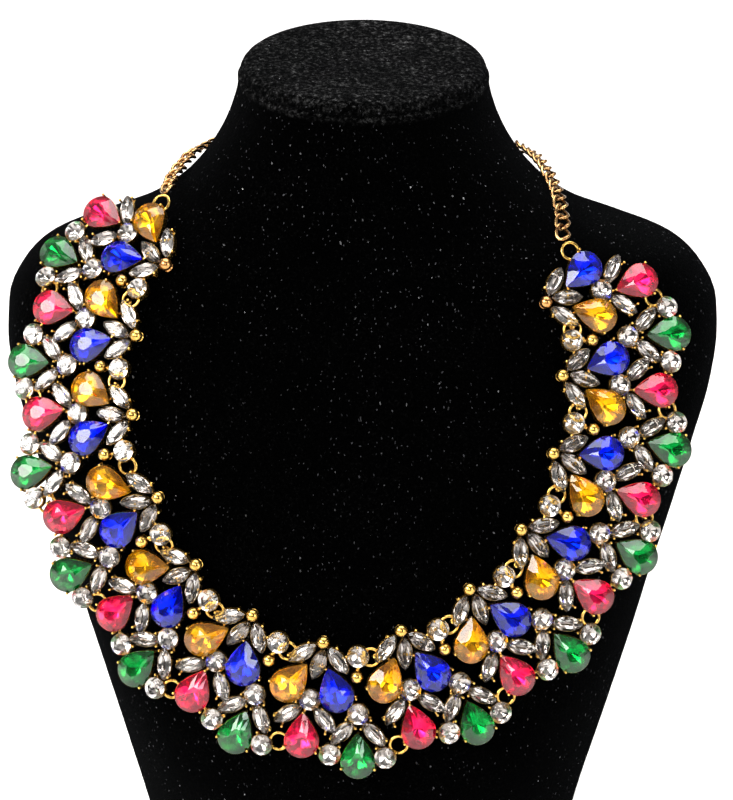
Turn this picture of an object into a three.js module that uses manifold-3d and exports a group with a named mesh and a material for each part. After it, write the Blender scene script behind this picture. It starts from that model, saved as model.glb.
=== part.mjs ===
// Bib necklace of thirteen jewelled castings joined by jump rings, shown on a velvet neck bust.
// Millimetres. +Z is up, the wearer's chest faces -Y, and the bust stands on z = 0.
import * as THREE from "three";
import { mergeVertices } from "three/addons/utils/BufferGeometryUtils.js";
import Module from "manifold-3d";

const wasm = await Module();
wasm.setup();

// ---- bust ----
const BUST_SIDES = 30;
// Horizontal slices from the base up: height, half width, front and back, forward lean in degrees, and
// the power of the outline, where 2 is an ellipse and a little more squares the chest.
const BUST_SLICES = [
  { z: 0, half: 59.5, front: -64.5, back: 34.5, lean: 0, power: 2.25 },
  { z: 2, half: 61.5, front: -66.5, back: 36.5, lean: 0, power: 2.25 },
  { z: 30, half: 67.5, front: -75, back: 40, lean: 0, power: 2.25 },
  { z: 60, half: 75.5, front: -79, back: 42, lean: 0, power: 2.25 },
  { z: 90, half: 84.5, front: -75.5, back: 44, lean: 0, power: 2.25 },
  { z: 120, half: 93.5, front: -68, back: 46, lean: 0, power: 2.25 },
  { z: 145, half: 101.5, front: -58.5, back: 47.5, lean: 0, power: 2.25 },
  { z: 163, half: 106.5, front: -50.5, back: 48, lean: 0, power: 2.25 },
  { z: 174, half: 108, front: -45.5, back: 48, lean: 0, power: 2.25 },
  { z: 184, half: 107.5, front: -40.5, back: 48, lean: 0, power: 2.25 },
  { z: 193, half: 103.5, front: -36, back: 47.5, lean: 0, power: 2.25 },
  { z: 200, half: 96.5, front: -33, back: 47, lean: 0, power: 2.25 },
  { z: 205, half: 83, front: -30.5, back: 47, lean: 0, power: 2.25 },
  { z: 210, half: 68, front: -28, back: 47, lean: 0, power: 2.25 },
  { z: 217, half: 56.2, front: -25.5, back: 47.5, lean: 0, power: 2.25 },
  { z: 226, half: 47.5, front: -23, back: 48, lean: 0, power: 2.2 },
  { z: 238, half: 40.5, front: -20.3, back: 49, lean: 3.2, power: 2.1 },
  { z: 246, half: 38, front: -19.2, back: 50.6, lean: 6.4, power: 2 },
  { z: 250.3, half: 37.4, front: -18.7, back: 51, lean: 8, power: 2 },
  { z: 252.4, half: 36.6, front: -17.9, back: 50.2, lean: 8, power: 2 },
  { z: 253.6, half: 35, front: -16.4, back: 48.7, lean: 8, power: 2 },
  { z: 254.1, half: 32.5, front: -13.9, back: 46.2, lean: 8, power: 2 },
];

// ---- stones of one casting ----
// Casting frame: u along the strand, v towards the neck, w out of the chest from the casting's back.
const RIM = 0.25; // metal wall round every stone
const CUTS = {
  pear: { half: 5, reach: 9, girdle: 3.3, top: 5.6, table: 0.52 },
  navette: { half: 2.15, reach: 4.9, girdle: 2.8, top: 4.3, table: 0.45 },
  round: { half: 3.1, reach: 3.1, girdle: 2.9, top: 4.5, table: 0.55 },
  ball: { half: 1.9, reach: 1.9, girdle: 2.7, top: 4.2, table: 0.55 },
};
// turn is the direction of a pear's point, or of a navette's length, in degrees from u.
const STONES = [
  { name: "top_ball", cut: "ball", u: -0.5, v: 19.8, turn: 0 },
  { name: "fan_1", cut: "navette", u: -6.5, v: 16.5, turn: 33 },
  { name: "fan_2", cut: "navette", u: -1.8, v: 13.2, turn: 70 },
  { name: "fan_3", cut: "navette", u: 3.9, v: 14.6, turn: 128 },
  { name: "inner_round", cut: "round", u: 9.7, v: 16, turn: 0 },
  { name: "side_ball", cut: "ball", u: 9.5, v: 9.8, turn: 0 },
  { name: "yellow", cut: "pear", u: -10.7, v: 6.6, turn: 50 },
  { name: "blue", cut: "pear", u: 3.8, v: 4.1, turn: 108 },
  { name: "left_round", cut: "round", u: -4.1, v: 2.5, turn: 0 },
  { name: "left_leaf_1", cut: "navette", u: -10.4, v: -1.9, turn: 33 },
  { name: "left_leaf_2", cut: "navette", u: 0.3, v: -3.6, turn: 130 },
  { name: "pink", cut: "pear", u: -6.3, v: -10.1, turn: 88 },
  { name: "right_round", cut: "round", u: 10.1, v: -1.3, turn: 0 },
  { name: "right_leaf_1", cut: "navette", u: 5.6, v: -7.2, turn: 47 },
  { name: "right_leaf_2", cut: "navette", u: 14.9, v: -7.3, turn: 135 },
  { name: "green", cut: "pear", u: 10.3, v: -15.8, turn: 91 },
  { name: "lower_left_round", cut: "round", u: 2, v: -14, turn: 0 },
  { name: "lower_right_round", cut: "round", u: 18.3, v: -14.3, turn: 0 },
];
// The last casting, by the right-hand chain, is cut short and has only these stones.
const END_STONES = [
  "top_ball",
  "fan_1",
  "fan_2",
  "fan_3",
  "yellow",
  "blue",
  "left_round",
  "left_leaf_1",
  "left_leaf_2",
  "pink",
];
// Little bridges that join stones whose rims don't touch: from, to, and the stones they belong to.
const BRIDGE_WIDTH = 1.3;
const BRIDGE_HEIGHT = 1.8;
const BRIDGES = [
  { from: [-6, -1.9], to: [-4.7, 0.8], ends: ["pink", "left_round"] },
  { from: [-2.7, -11.7], to: [0.3, -13.3], ends: ["pink", "lower_left_round"] },
  { from: [9.6, 14], to: [9.5, 10.9], ends: ["inner_round", "side_ball"] },
  { from: [-6.9, 15.6], to: [-6.5, 11.2], ends: ["fan_1", "yellow"] },
  { from: [-1.6, 12.8], to: [1.6, 10.6], ends: ["fan_2", "blue"] },
  { from: [4.6, 14.9], to: [7.6, 15.6], ends: ["fan_3", "inner_round"] },
  { from: [3.4, -14.2], to: [6.6, -15], ends: ["lower_left_round", "green"] },
];

// ---- where each casting lies ----
// x, y, z of the casting's origin; turn of u from level, yaw to the wearer's left, pitch up, in degrees.
const LINKS = [
  { name: "link_01", x: -72.6, y: -17.1, z: 205.7, turn: -102.8, yaw: -28.6, pitch: 41.7 },
  { name: "link_02", x: -83.2, y: -30.6, z: 183.1, turn: -86.2, yaw: -25.8, pitch: 26.8 },
  { name: "link_03", x: -84.1, y: -44.9, z: 158, turn: -70.4, yaw: -24.6, pitch: 28 },
  { name: "link_04", x: -76.1, y: -56.6, z: 133.7, turn: -63.4, yaw: -12.2, pitch: 9.3 },
  { name: "link_05", x: -61, y: -64.6, z: 109.8, turn: -42.6, yaw: -19.4, pitch: 15.3 },
  { name: "link_06", x: -39.2, y: -73.2, z: 93.1, turn: -23.8, yaw: -7.1, pitch: 9.6 },
  { name: "link_07", x: -10.7, y: -77.4, z: 84.5, turn: -0.4, yaw: -3.8, pitch: 9.3 },
  { name: "link_08", x: 18.6, y: -76.1, z: 89, turn: 18.6, yaw: 9.7, pitch: 13.4 },
  { name: "link_09", x: 43.8, y: -68.8, z: 102.8, turn: 37.1, yaw: 10.4, pitch: 13.8 },
  { name: "link_10", x: 62.9, y: -59.9, z: 123.4, turn: 55.9, yaw: 12.4, pitch: 16.5 },
  { name: "link_11", x: 73.9, y: -49.3, z: 147.7, turn: 69.3, yaw: 15.1, pitch: 23.2 },
  { name: "link_12", x: 76.9, y: -36.5, z: 173.6, turn: 86.9, yaw: 16.8, pitch: 27.6 },
  { name: "link_13", x: 70, y: -24.2, z: 199, turn: 107.9, yaw: 16.8, pitch: 30.9 },
];

// ---- jump rings ----
const RING_RADIUS = 2.55; // to the middle of the wire
const RING_WIRE = 0.45;
const RING_PLAY = 0.32; // air round the wire where it runs through a casting
const RING_HEIGHT = 1.6; // of the wire over the casting's back
// Where a ring runs through the casting on its left and the casting on its right, as [u, v].
const RING_SEATS = {
  inner: { left: [10.9, 16], right: [-9.4, 14.6] },
  outer: { left: [20.1, -13.8], right: [-9.9, -9.4] },
};
// The chain's own rings: the seat in the casting, and the way to the ring's far side.
const END_RINGS = [
  { name: "end_ring_left", link: "link_01", seat: [-14.4, 7], away: [-1, -0.2] },
  { name: "end_ring_right", link: "link_13", seat: [7.8, 5.4], away: [1, 0.1] },
];

// ---- chain ----
const CHAIN_SIDES = 6;
const CHAIN_PITCH = 4.4;
const CHAIN_WIDE = 1.8; // half width over a link
const CHAIN_NARROW = 1.1; // half width where two links cross
// Way of each half from its end ring over the shoulder and round the back of the neck.
const CHAIN_LEFT = [
  [-57.9, -11.6, 221.2],
  [-57.4, -4, 221.4],
  [-56.4, 5, 221.6],
  [-54.4, 13, 222.4],
  [-51.7, 22.1, 223.1],
  [-48.2, 30.2, 222.6],
  [-41.3, 38.2, 222],
  [-30, 45, 222.1],
  [-17.7, 48.7, 223.4],
  [-8.4, 50.2, 224],
];
const CHAIN_RIGHT = [
  [58.8, -22.6, 210.4],
  [59, -14, 214.4],
  [58.4, -6, 217.4],
  [57.2, 2.5, 219.6],
  [54.7, 13.1, 222],
  [51.9, 22.1, 223],
  [48.3, 30.2, 222.6],
  [41.3, 38.2, 222.1],
  [30, 45, 222.1],
  [17.7, 48.7, 223.4],
  [8.4, 50.2, 224],
];
const CLASP_HALF_LENGTH = 7.8;
const CLASP_HALF_HEIGHT = 3.4;
const CLASP_HALF_DEPTH = 1.6;
const CLASP_AT = [0, 50.4, 224];

// ---- finishes ----
const GOLD = new THREE.MeshStandardMaterial({ color: 0xa9813f, roughness: 0.35, metalness: 1 });
const VELVET = new THREE.MeshStandardMaterial({ color: 0x0b0b0d, roughness: 1, metalness: 0 });

// A closed solid through rings of equally many points, each end closed by a fan.
function loft(rings) {
  const sides = rings[0].length;
  const points = rings.flat();
  const middle = (ring) =>
    ring.reduce((sum, p) => sum.add(p), new THREE.Vector3()).divideScalar(sides);
  points.push(middle(rings[0]), middle(rings[rings.length - 1]));
  const index = [];
  rings.slice(1).forEach((_, level) => {
    for (let i = 0; i < sides; i += 1) {
      const j = (i + 1) % sides;
      const low = level * sides;
      const high = low + sides;
      index.push(low + i, low + j, high + j, low + i, high + j, high + i);
    }
  });
  const last = (rings.length - 1) * sides;
  const bottom = rings.length * sides;
  for (let i = 0; i < sides; i += 1) {
    const j = (i + 1) % sides;
    index.push(bottom, j, i);
    index.push(bottom + 1, last + i, last + j);
  }
  return new THREE.BufferGeometry().setFromPoints(points).setIndex(index);
}

function solidOf(geometry) {
  const bare = new THREE.BufferGeometry()
    .setAttribute("position", geometry.getAttribute("position"))
    .setIndex(geometry.getIndex());
  const merged = mergeVertices(bare, 1e-4);
  return new wasm.Manifold(
    new wasm.Mesh({
      numProp: 3,
      vertProperties: new Float32Array(merged.getAttribute("position").array),
      triVerts: new Uint32Array(merged.getIndex().array),
    }),
  );
}

function geometryOf(solid) {
  const mesh = solid.getMesh();
  return new THREE.BufferGeometry()
    .setAttribute("position", new THREE.BufferAttribute(mesh.vertProperties, 3))
    .setIndex(new THREE.BufferAttribute(mesh.triVerts, 1));
}

function bustGeometry() {
  const rings = BUST_SLICES.map(({ z, half, front, back, lean, power }) => {
    const centre = (front + back) / 2;
    const depth = (back - front) / 2;
    const tilt = THREE.MathUtils.degToRad(lean);
    return Array.from({ length: BUST_SIDES }, (_, i) => {
      const angle = (2 * Math.PI * i) / BUST_SIDES;
      const squared = (t) => Math.sign(t) * Math.abs(t) ** (2 / power);
      const x = half * squared(Math.cos(angle));
      const y = depth * squared(Math.sin(angle));
      return new THREE.Vector3(x, centre + y * Math.cos(tilt), z + y * Math.sin(tilt));
    });
  });
  return loft(rings);
}

// Outline of a stone round its own centre, its point or its length along +x, anticlockwise.
function outline(cut, half, reach) {
  if (cut === "navette") {
    const radius = (reach ** 2 + half ** 2) / (2 * half);
    const flank = 0.5 * reach;
    const rise = Math.sqrt(radius ** 2 - flank ** 2) - (radius - half);
    return [
      [reach, 0],
      [flank, rise],
      [-flank, rise],
      [-reach, 0],
      [-flank, -rise],
      [flank, -rise],
    ];
  }
  if (cut === "pear") {
    const shoulder = Math.acos(half / reach);
    const steps = 6;
    const arc = Array.from({ length: steps + 1 }, (_, i) => {
      const angle = shoulder + ((2 * Math.PI - 2 * shoulder) * i) / steps;
      return [half * Math.cos(angle), half * Math.sin(angle)];
    });
    return [[reach, 0], ...arc];
  }
  const sides = cut === "round" ? 8 : 6;
  return Array.from({ length: sides }, (_, i) => {
    const angle = (2 * Math.PI * (i + 0.5)) / sides;
    return [half * Math.cos(angle), half * Math.sin(angle)];
  });
}

// A stone and its cup as one solid: straight wall to the girdle, then the crown up to the table.
function stoneGeometry(cut) {
  const { half, reach, girdle, top, table } = CUTS[cut];
  const rim = outline(cut, half + RIM, reach + RIM * (reach / half) ** 0.5);
  const levels = [
    { w: 0, scale: 1 },
    { w: girdle, scale: 1 },
    { w: top, scale: table },
  ];
  return loft(
    levels.map(({ w, scale }) => rim.map(([x, y]) => new THREE.Vector3(x * scale, y * scale, w))),
  );
}

function bridgeGeometry({ from, to }) {
  const start = new THREE.Vector2(...from);
  const way = new THREE.Vector2(...to).sub(start);
  return new THREE.BoxGeometry(way.length(), BRIDGE_WIDTH, BRIDGE_HEIGHT)
    .translate(way.length() / 2, 0, BRIDGE_HEIGHT / 2)
    .rotateZ(way.angle())
    .translate(start.x, start.y, 0.2);
}

// Matrix that takes the casting frame (u, v, w) to its place on the chest.
function placeOf({ x, y, z, turn, yaw, pitch }) {
  const rad = THREE.MathUtils.degToRad;
  const out = new THREE.Vector3(
    Math.sin(rad(yaw)) * Math.cos(rad(pitch)),
    -Math.cos(rad(yaw)) * Math.cos(rad(pitch)),
    Math.sin(rad(pitch)),
  );
  const level = new THREE.Vector3(0, 0, 1).cross(out).normalize();
  const rise = out.clone().cross(level);
  const u = level
    .clone()
    .multiplyScalar(Math.cos(rad(turn)))
    .addScaledVector(rise, Math.sin(rad(turn)));
  const v = out.clone().cross(u);
  return new THREE.Matrix4().makeBasis(u, v, out).setPosition(x, y, z);
}

const places = new Map(LINKS.map((link) => [link.name, placeOf(link)]));

function onLink(name, [u, v], w = RING_HEIGHT) {
  return new THREE.Vector3(u, v, w).applyMatrix4(places.get(name));
}

function outOf(name) {
  return new THREE.Vector3().setFromMatrixColumn(places.get(name), 2);
}

// Matrix of a ring lying in the plane of its first direction, square to "out" as nearly as it can be.
function ringPlace(centre, along, out) {
  const x = along.clone().normalize();
  const z = out.clone().addScaledVector(x, -out.dot(x)).normalize();
  const y = z.clone().cross(x);
  return new THREE.Matrix4().makeBasis(x, y, z).setPosition(centre);
}

const rings = [];
LINKS.slice(1).forEach(({ name: right }, i) => {
  const left = LINKS[i].name;
  const out = outOf(left).add(outOf(right));
  Object.entries(RING_SEATS).forEach(([row, seat]) => {
    const start = onLink(left, seat.left);
    const end = onLink(right, seat.right);
    const centre = start.clone().add(end).multiplyScalar(0.5);
    const place = ringPlace(centre, end.sub(start), out);
    const number = String(i + 1).padStart(2, "0");
    rings.push({ name: `ring_${row}_${number}`, links: [left, right], place });
  });
});
END_RINGS.forEach(({ name, link, seat, away }) => {
  const start = onLink(link, seat);
  const far = onLink(link, [seat[0] + away[0], seat[1] + away[1]]);
  const along = far.sub(start).normalize();
  const centre = start.clone().addScaledVector(along, RING_RADIUS);
  rings.push({ name, links: [link], place: ringPlace(centre, along, outOf(link)) });
});

// The square channel a ring needs through metal.
function channelGeometry() {
  const half = RING_WIRE + RING_PLAY;
  const profile = [
    [RING_RADIUS - half, -half],
    [RING_RADIUS + half, -half],
    [RING_RADIUS + half, half],
    [RING_RADIUS - half, half],
    [RING_RADIUS - half, -half],
  ].map(([r, h]) => new THREE.Vector2(r, h));
  return new THREE.LatheGeometry(profile, 10).rotateX(Math.PI / 2);
}

function castingGeometry(link) {
  const isEnd = link.name === LINKS[LINKS.length - 1].name;
  const kept = STONES.filter(({ name }) => !isEnd || END_STONES.includes(name));
  const names = kept.map(({ name }) => name);
  const stones = kept.map(({ cut, u, v, turn }) =>
    stoneGeometry(cut).rotateZ(THREE.MathUtils.degToRad(turn)).translate(u, v, 0),
  );
  const bridges = BRIDGES.filter(({ ends }) => ends.every((end) => names.includes(end)));
  const parts = [...stones, ...bridges.map(bridgeGeometry)].map(solidOf);
  const whole = parts.reduce((sum, part) => sum.add(part));
  const toLink = places.get(link.name).clone().invert();
  const channels = rings
    .filter(({ links }) => links.includes(link.name))
    .map(({ place }) => solidOf(channelGeometry().applyMatrix4(place).applyMatrix4(toLink)));
  return geometryOf(channels.reduce((left, channel) => left.subtract(channel), whole));
}

// A half of the chain: full over each link and waisted where two links cross.
function chainGeometry(points) {
  const curve = new THREE.CatmullRomCurve3(points.map((p) => new THREE.Vector3(...p)));
  const links = Math.round(curve.getLength() / CHAIN_PITCH);
  const up = new THREE.Vector3(0, 0, 1);
  const stations = Array.from({ length: 2 * links + 1 }, (_, i) => i / (2 * links));
  return loft(
    stations.map((t, i) => {
      const ahead = curve.getTangentAt(t);
      const side = up.clone().cross(ahead).normalize();
      const rise = ahead.clone().cross(side);
      const radius = i % 2 ? CHAIN_WIDE : CHAIN_NARROW;
      const centre = curve.getPointAt(t);
      return Array.from({ length: CHAIN_SIDES }, (_, j) => {
        const angle = (2 * Math.PI * j) / CHAIN_SIDES;
        return centre
          .clone()
          .addScaledVector(side, radius * Math.cos(angle))
          .addScaledVector(rise, radius * Math.sin(angle));
      });
    }),
  );
}

function claspGeometry() {
  return new THREE.SphereGeometry(1, 10, 6)
    .scale(CLASP_HALF_LENGTH, CLASP_HALF_DEPTH, CLASP_HALF_HEIGHT)
    .translate(...CLASP_AT);
}

const necklace = new THREE.Group();

function addNode(name, geometry, material) {
  const mesh = new THREE.Mesh(geometry, material.clone());
  mesh.name = name;
  necklace.add(mesh);
  return mesh;
}

addNode("bust", bustGeometry(), VELVET);
LINKS.forEach((link) => {
  addNode(link.name, castingGeometry(link), GOLD).applyMatrix4(places.get(link.name));
});
rings.forEach(({ name, place }) => {
  const torus = new THREE.TorusGeometry(RING_RADIUS, RING_WIRE, 4, 12);
  addNode(name, torus, GOLD).applyMatrix4(place);
});
addNode("chain_left", chainGeometry(CHAIN_LEFT), GOLD);
addNode("chain_right", chainGeometry(CHAIN_RIGHT), GOLD);
addNode("clasp", claspGeometry(), GOLD);

export default necklace;
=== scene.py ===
"""A bib necklace of thirteen jewelled castings on a black velvet neck bust.

Tables are in millimetres, as in the CAD model; everything built is in metres, in the same frame.
"""

import math
import random

import bmesh
import bpy
from mathutils import Matrix, Vector, noise


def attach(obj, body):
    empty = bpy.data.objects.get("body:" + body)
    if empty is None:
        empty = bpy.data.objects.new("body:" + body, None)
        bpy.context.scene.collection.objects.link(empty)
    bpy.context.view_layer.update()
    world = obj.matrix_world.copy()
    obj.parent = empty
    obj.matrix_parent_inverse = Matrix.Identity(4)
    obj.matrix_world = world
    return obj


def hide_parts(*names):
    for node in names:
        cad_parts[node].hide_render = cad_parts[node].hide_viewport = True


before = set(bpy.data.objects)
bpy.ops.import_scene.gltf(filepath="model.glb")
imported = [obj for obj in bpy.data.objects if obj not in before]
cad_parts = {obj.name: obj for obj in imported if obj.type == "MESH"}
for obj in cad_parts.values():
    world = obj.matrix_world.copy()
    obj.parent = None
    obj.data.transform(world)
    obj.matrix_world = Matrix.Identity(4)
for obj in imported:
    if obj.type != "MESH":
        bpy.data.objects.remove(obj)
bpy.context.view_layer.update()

MM = 0.001

# ---------------------------------------------------------------- tables shared with the CAD model

# Height, half width, front, back, forward lean in degrees and outline power of the bust's slices,
# from the base up.
BUST_SLICES = [
    (0, 59.5, -64.5, 34.5, 0, 2.25),
    (2, 61.5, -66.5, 36.5, 0, 2.25),
    (30, 67.5, -75, 40, 0, 2.25),
    (60, 75.5, -79, 42, 0, 2.25),
    (90, 84.5, -75.5, 44, 0, 2.25),
    (120, 93.5, -68, 46, 0, 2.25),
    (145, 101.5, -58.5, 47.5, 0, 2.25),
    (163, 106.5, -50.5, 48, 0, 2.25),
    (174, 108, -45.5, 48, 0, 2.25),
    (184, 107.5, -40.5, 48, 0, 2.25),
    (193, 103.5, -36, 47.5, 0, 2.25),
    (200, 96.5, -33, 47, 0, 2.25),
    (205, 83, -30.5, 47, 0, 2.25),
    (210, 68, -28, 47, 0, 2.25),
    (217, 56.2, -25.5, 47.5, 0, 2.25),
    (226, 47.5, -23, 48, 0, 2.2),
    (238, 40.5, -20.3, 49, 3.2, 2.1),
    (246, 38, -19.2, 50.6, 6.4, 2),
    (250.3, 37.4, -18.7, 51, 8, 2),
    (252.4, 36.6, -17.9, 50.2, 8, 2),
    (253.6, 35, -16.4, 48.7, 8, 2),
    (254.1, 32.5, -13.9, 46.2, 8, 2),
]

RIM = 0.25  # metal wall round every stone
# Half width, reach to the point, height of the girdle and of the table over the casting's back.
CUTS = {
    "pear": (5, 9, 3.3, 5.6),
    "navette": (2.15, 4.9, 2.8, 4.3),
    "round": (3.1, 3.1, 2.9, 4.5),
    "ball": (1.9, 1.9, 2.7, 4.2),
}
# Cut, u, v and turn in degrees: u runs along the strand and v towards the neck.
STONES = {
    "top_ball": ("ball", -0.5, 19.8, 0),
    "fan_1": ("navette", -6.5, 16.5, 33),
    "fan_2": ("navette", -1.8, 13.2, 70),
    "fan_3": ("navette", 3.9, 14.6, 128),
    "inner_round": ("round", 9.7, 16, 0),
    "side_ball": ("ball", 9.5, 9.8, 0),
    "yellow": ("pear", -10.7, 6.6, 50),
    "blue": ("pear", 3.8, 4.1, 108),
    "left_round": ("round", -4.1, 2.5, 0),
    "left_leaf_1": ("navette", -10.4, -1.9, 33),
    "left_leaf_2": ("navette", 0.3, -3.6, 130),
    "pink": ("pear", -6.3, -10.1, 88),
    "right_round": ("round", 10.1, -1.3, 0),
    "right_leaf_1": ("navette", 5.6, -7.2, 47),
    "right_leaf_2": ("navette", 14.9, -7.3, 135),
    "green": ("pear", 10.3, -15.8, 91),
    "lower_left_round": ("round", 2, -14, 0),
    "lower_right_round": ("round", 18.3, -14.3, 0),
}
END_STONES = (
    "top_ball fan_1 fan_2 fan_3 yellow blue left_round left_leaf_1 left_leaf_2 pink"
).split()
BRIDGES = [
    ((-6, -1.9), (-4.7, 0.8), ("pink", "left_round")),
    ((-2.7, -11.7), (0.3, -13.3), ("pink", "lower_left_round")),
    ((9.6, 14), (9.5, 10.9), ("inner_round", "side_ball")),
    ((-6.9, 15.6), (-6.5, 11.2), ("fan_1", "yellow")),
    ((-1.6, 12.8), (1.6, 10.6), ("fan_2", "blue")),
    ((4.6, 14.9), (7.6, 15.6), ("fan_3", "inner_round")),
    ((3.4, -14.2), (6.6, -15), ("lower_left_round", "green")),
]
# x, y, z of each casting's origin; turn of u from level, yaw and pitch of its face, in degrees.
LINKS = [
    (-72.6, -17.1, 205.7, -102.8, -28.6, 41.7),
    (-83.2, -30.6, 183.1, -86.2, -25.8, 26.8),
    (-84.1, -44.9, 158, -70.4, -24.6, 28),
    (-76.1, -56.6, 133.7, -63.4, -12.2, 9.3),
    (-61, -64.6, 109.8, -42.6, -19.4, 15.3),
    (-39.2, -73.2, 93.1, -23.8, -7.1, 9.6),
    (-10.7, -77.4, 84.5, -0.4, -3.8, 9.3),
    (18.6, -76.1, 89, 18.6, 9.7, 13.4),
    (43.8, -68.8, 102.8, 37.1, 10.4, 13.8),
    (62.9, -59.9, 123.4, 55.9, 12.4, 16.5),
    (73.9, -49.3, 147.7, 69.3, 15.1, 23.2),
    (76.9, -36.5, 173.6, 86.9, 16.8, 27.6),
    (70, -24.2, 199, 107.9, 16.8, 30.9),
]
RING_RADIUS = 2.55
RING_WIRE = 0.45
RING_HEIGHT = 1.6
RING_SEATS = {
    "inner": ((10.9, 16), (-9.4, 14.6)),
    "outer": ((20.1, -13.8), (-9.9, -9.4)),
}
# Name, casting, seat and way to the ring's far side.
END_RINGS = [
    ("end_ring_left", 0, (-14.4, 7), (-1, -0.2)),
    ("end_ring_right", 12, (7.8, 5.4), (1, 0.1)),
]
CHAIN_PITCH = 4.4
CHAIN_LEFT = [
    (-57.9, -11.6, 221.2),
    (-57.4, -4, 221.4),
    (-56.4, 5, 221.6),
    (-54.4, 13, 222.4),
    (-51.7, 22.1, 223.1),
    (-48.2, 30.2, 222.6),
    (-41.3, 38.2, 222),
    (-30, 45, 222.1),
    (-17.7, 48.7, 223.4),
    (-8.4, 50.2, 224),
]
CHAIN_RIGHT = [
    (58.8, -22.6, 210.4),
    (59, -14, 214.4),
    (58.4, -6, 217.4),
    (57.2, 2.5, 219.6),
    (54.7, 13.1, 222),
    (51.9, 22.1, 223),
    (48.3, 30.2, 222.6),
    (41.3, 38.2, 222.1),
    (30, 45, 222.1),
    (17.7, 48.7, 223.4),
    (8.4, 50.2, 224),
]
CLASP_AT = (0, 50.4, 224)

# ---------------------------------------------------------------- detail that only the visual model has

# Claws round the stones of a casting, as (u, v).
CLAWS = [
    (-4.7, 20.0), (3.5, 18.6), (-10.7, 15.8), (-16.0, 8.0), (9.5, 18.9), (10.0, 12.6),
    (9.6, 3.5), (-8.0, 1.9), (-14.5, -2.6), (-12.2, -5.9), (-5.9, -1.2), (-0.3, 0.0),
    (0.6, -7.7), (2.0, -9.0), (5.0, -11.3), (9.6, -5.6), (10.9, -5.7), (6.5, -3.0),
    (14.0, -2.9), (18.7, -9.0), (15.5, -11.3), (-1.9, -13.5), (-11.6, -11.8),
    (5.4, -18.0), (15.4, -17.8),
]
# Height over the casting's back of each cut's culet, where the facets under the stone meet.
CULETS = {"pear": 0.75, "navette": 0.95, "round": 0.85}
LINK_LONG = 2.85  # half length of a chain link's centre line
LINK_BROAD = 2.0
LINK_TWIST = math.radians(38)
LINK_WIRE = 0.52


# ---------------------------------------------------------------- mesh tools


class Shape:
    """Closed shells gathered into one mesh, each with a material slot."""

    def __init__(self):
        self.points, self.faces, self.slots, self.smooth = [], [], [], []

    def add(self, points, faces, slot=0, smooth=True):
        base = len(self.points)
        self.points += [tuple(p) for p in points]
        self.faces += [[base + i for i in face] for face in faces]
        self.slots += [slot] * len(faces) if isinstance(slot, int) else list(slot)
        self.smooth += [smooth] * len(faces)

    def made(self, name, materials, crease=38):
        """The mesh, its shells facing out, with edges sharper than crease degrees kept sharp."""
        mesh = bpy.data.meshes.new(name)
        mesh.from_pydata([Vector(p) * MM for p in self.points], [], self.faces)
        mesh.polygons.foreach_set("material_index", self.slots)
        mesh.polygons.foreach_set("use_smooth", self.smooth)
        work = bmesh.new()
        work.from_mesh(mesh)
        bmesh.ops.recalc_face_normals(work, faces=work.faces)
        for edge in work.edges:
            edge.smooth = edge.calc_face_angle(0.0) < math.radians(crease)
        work.to_mesh(mesh)
        work.free()
        for material in materials:
            mesh.materials.append(material)
        return mesh


def place(name, mesh, matrix, nodes):
    """Shows the mesh at that place of the shared frame, standing for those CAD nodes."""
    thing = bpy.data.objects.new(name, mesh)
    bpy.context.scene.collection.objects.link(thing)
    thing.matrix_world = matrix
    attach(thing, "root")
    if nodes:
        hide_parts(*nodes)


def loft(rings, capped=True):
    """Points and faces of a skin through rings of equally many points, with a fan over each end."""
    count = len(rings[0])
    points = [p for ring in rings for p in ring]
    faces = []
    for level in range(len(rings) - 1):
        low, high = level * count, (level + 1) * count
        for i in range(count):
            j = (i + 1) % count
            faces.append((low + i, low + j, high + j, high + i))
    if capped:
        last = (len(rings) - 1) * count
        for ring, at, downward in ((rings[0], 0, True), (rings[-1], last, False)):
            points.append(sum((Vector(p) for p in ring), Vector()) / count)
            tip = len(points) - 1
            for i in range(count):
                j = (i + 1) % count
                faces.append((tip, at + j, at + i) if downward else (tip, at + i, at + j))
    return points, faces


def tube(path, radius, sides, closed=False):
    """A round wire along the path. radius is one number or one for each point."""
    path = [Vector(p) for p in path]
    count = len(path)
    radii = [radius] * count if isinstance(radius, (int, float)) else radius
    tangents = []
    for i in range(count):
        before = path[i - 1] if closed or i else path[0]
        after = path[(i + 1) % count] if closed or i < count - 1 else path[-1]
        tangents.append((after - before).normalized())
    normal = tangents[0].orthogonal().normalized()
    normals = [normal]
    for i in range(1, count):
        normal = tangents[i - 1].rotation_difference(tangents[i]) @ normal
        normal = (normal - tangents[i] * normal.dot(tangents[i])).normalized()
        normals.append(normal)
    drift = 0.0
    if closed:  # the wire's last section is turned to meet its first
        back = tangents[-1].rotation_difference(tangents[0]) @ normals[-1]
        drift = math.atan2(back.cross(normals[0]).dot(tangents[0]), back.dot(normals[0]))
    rings = []
    for i in range(count):
        side = normals[i]
        up = tangents[i].cross(side)
        turn = drift * i / count
        rings.append(
            [
                path[i]
                + side * radii[i] * math.cos(2 * math.pi * k / sides + turn)
                + up * radii[i] * math.sin(2 * math.pi * k / sides + turn)
                for k in range(sides)
            ]
        )
    if not closed:
        return loft(rings)
    points, faces = loft(rings, False)
    last = (count - 1) * sides
    for k in range(sides):
        j = (k + 1) % sides
        faces.append((last + k, last + j, j, k))
    return points, faces


def turned(profile, sides, centre=(0, 0)):
    """A lathed solid: profile is (radius, height) from the bottom up, both ends on the axis."""
    rings = [
        [
            Vector(
                (
                    centre[0] + r * math.cos(2 * math.pi * k / sides),
                    centre[1] + r * math.sin(2 * math.pi * k / sides),
                    w,
                )
            )
            for k in range(sides)
        ]
        for r, w in profile
    ]
    return loft(rings)


# ---------------------------------------------------------------- materials


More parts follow.
